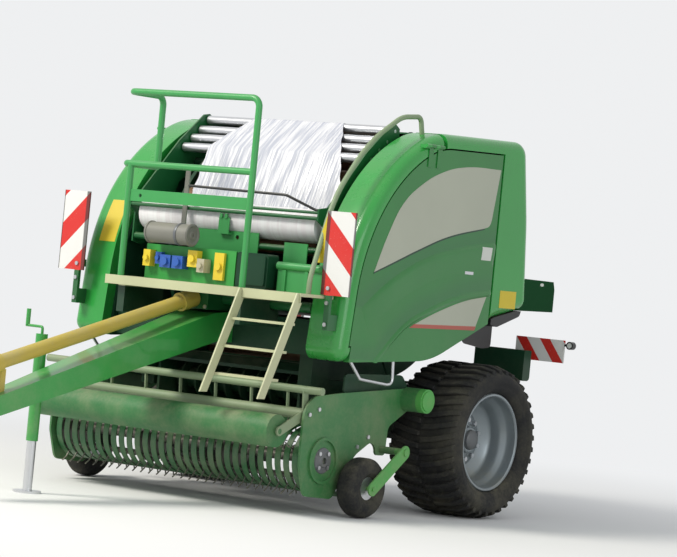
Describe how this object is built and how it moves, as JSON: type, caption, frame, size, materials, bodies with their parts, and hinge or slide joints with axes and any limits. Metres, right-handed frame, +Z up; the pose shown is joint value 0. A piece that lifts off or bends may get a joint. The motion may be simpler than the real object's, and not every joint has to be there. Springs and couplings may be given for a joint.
{
  "type": "towed round baler",
  "caption": "Towed round baler with tined pickup, roller chamber, tailgate, side doors, film wrapping platform, ladder and parking jack.",
  "frame": {"origin": "on the ground, under the middle of the machine, on its centre line", "axes": "+Z up, +Y to the tailgate, -Y to the tow eye, +X to the machine's left side"},
  "size_m": [2.88, 4.9, 2.6785],
  "materials": {
    "green_paint": "vivid mid green gloss paint",
    "dark_green_paint": "dark green satin paint of the frame",
    "black_paint": "black satin paint",
    "bright_steel": "bright zinc-plated steel",
    "roller_steel": "worn rolled steel",
    "rim_silver": "silver grey paint",
    "tyre": "dusty black rubber",
    "film": "white stretch film",
    "board": "white board with red diagonal stripes",
    "yellow_plastic": "yellow plastic guard",
    "grey_plastic": "grey plastic",
    "lamp": "red and clear lamp lens"
  },
  "bodies": {
    "frame": {"axle_beam": "dark_green_paint", "bale_ramp": "black_paint", "canister": "grey_plastic", "chassis_frame": "dark_green_paint", "control_box": "dark_green_paint", "drawbar": "green_paint", "driveline": "yellow_plastic", "film_cradle": "green_paint", "film_rod": "black_paint", "film_roll": "film", "film_web": "film", "front_arch": "green_paint", "front_boards": "board", "front_rollers": "roller_steel", "front_walls": "dark_green_paint", "gearbox": "dark_green_paint", "grab_rail": "green_paint", "guard_rail": "green_paint", "guide_rollers": "bright_steel", "jack_tube": "green_paint", "ladder": "green_paint", "platform": "green_paint", "rear_boards": "board", "rear_lamps": "lamp", "roll_bracket": "green_paint", "rotor_housing": "dark_green_paint", "side_box": "green_paint", "toe_board": "green_paint", "tow_eye": "bright_steel", "valve_block": "yellow_plastic"},
    "tailgate": {"tailgate_walls": "dark_green_paint", "tailgate_rollers": "roller_steel", "tailgate_skin": "green_paint", "tail_arch": "green_paint", "tailgate_bumper": "dark_green_paint", "tailgate_edge": "black_paint"},
    "door_left": {"door_left": "green_paint", "door_left_handle": "bright_steel"},
    "door_right": {"door_right": "green_paint", "door_right_handle": "bright_steel"},
    "wheel_left": {"wheel_left_tyre": "tyre", "wheel_left_rim": "rim_silver"},
    "wheel_right": {"wheel_right_tyre": "tyre", "wheel_right_rim": "rim_silver"},
    "pickup": {"pickup_frame": "green_paint", "pickup_strippers": "green_paint", "wind_guard": "green_paint"},
    "pickup_reel": {"pickup_reel": "roller_steel"},
    "crop_roller": {"crop_roller": "green_paint"},
    "gauge_wheel_left": {"gauge_wheel_left": "tyre"},
    "gauge_wheel_right": {"gauge_wheel_right": "tyre"},
    "jack_leg": {"jack_leg": "bright_steel"}
  },
  "joints": [
    {"name": "wheel_left_spin", "type": "hinge", "parent": "frame", "child": "wheel_left", "pos_m": [1.095, 1.48, 0.525], "axis": [1, 0, 0], "continuous": true},
    {"name": "wheel_right_spin", "type": "hinge", "parent": "frame", "child": "wheel_right", "pos_m": [-1.095, 1.48, 0.525], "axis": [1, 0, 0], "continuous": true},
    {"name": "tailgate_hinge", "type": "hinge", "parent": "frame", "child": "tailgate", "pos_m": [0, 0.88, 2.53], "axis": [1, 0, 0], "range_deg": [0, 60]},
    {"name": "door_left_hinge", "type": "hinge", "parent": "frame", "child": "door_left", "pos_m": [1.165, 0.78, 2.47], "axis": [0, -1, 0], "range_deg": [0, 70]},
    {"name": "door_right_hinge", "type": "hinge", "parent": "frame", "child": "door_right", "pos_m": [-1.165, 0.78, 2.47], "axis": [0, 1, 0], "range_deg": [0, 70]},
    {"name": "pickup_lift", "type": "hinge", "parent": "frame", "child": "pickup", "pos_m": [0, 0.8, 0.78], "axis": [-1, 0, 0], "range_deg": [0, 8]},
    {"name": "reel_spin", "type": "hinge", "parent": "pickup", "child": "pickup_reel", "pos_m": [0, -0.07, 0.36], "axis": [1, 0, 0], "continuous": true},
    {"name": "crop_roller_spin", "type": "hinge", "parent": "pickup", "child": "crop_roller", "pos_m": [0, -0.505, 0.54], "axis": [1, 0, 0], "continuous": true},
    {"name": "gauge_left_spin", "type": "hinge", "parent": "pickup", "child": "gauge_wheel_left", "pos_m": [1.183, 0.235, 0.199], "axis": [1, 0, 0], "continuous": true},
    {"name": "gauge_right_spin", "type": "hinge", "parent": "pickup", "child": "gauge_wheel_right", "pos_m": [-1.183, 0.235, 0.199], "axis": [1, 0, 0], "continuous": true},
    {"name": "jack_slide", "type": "slide", "parent": "frame", "child": "jack_leg", "axis": [0, 0, 1], "range_m": [0, 0.3]}
  ]
}
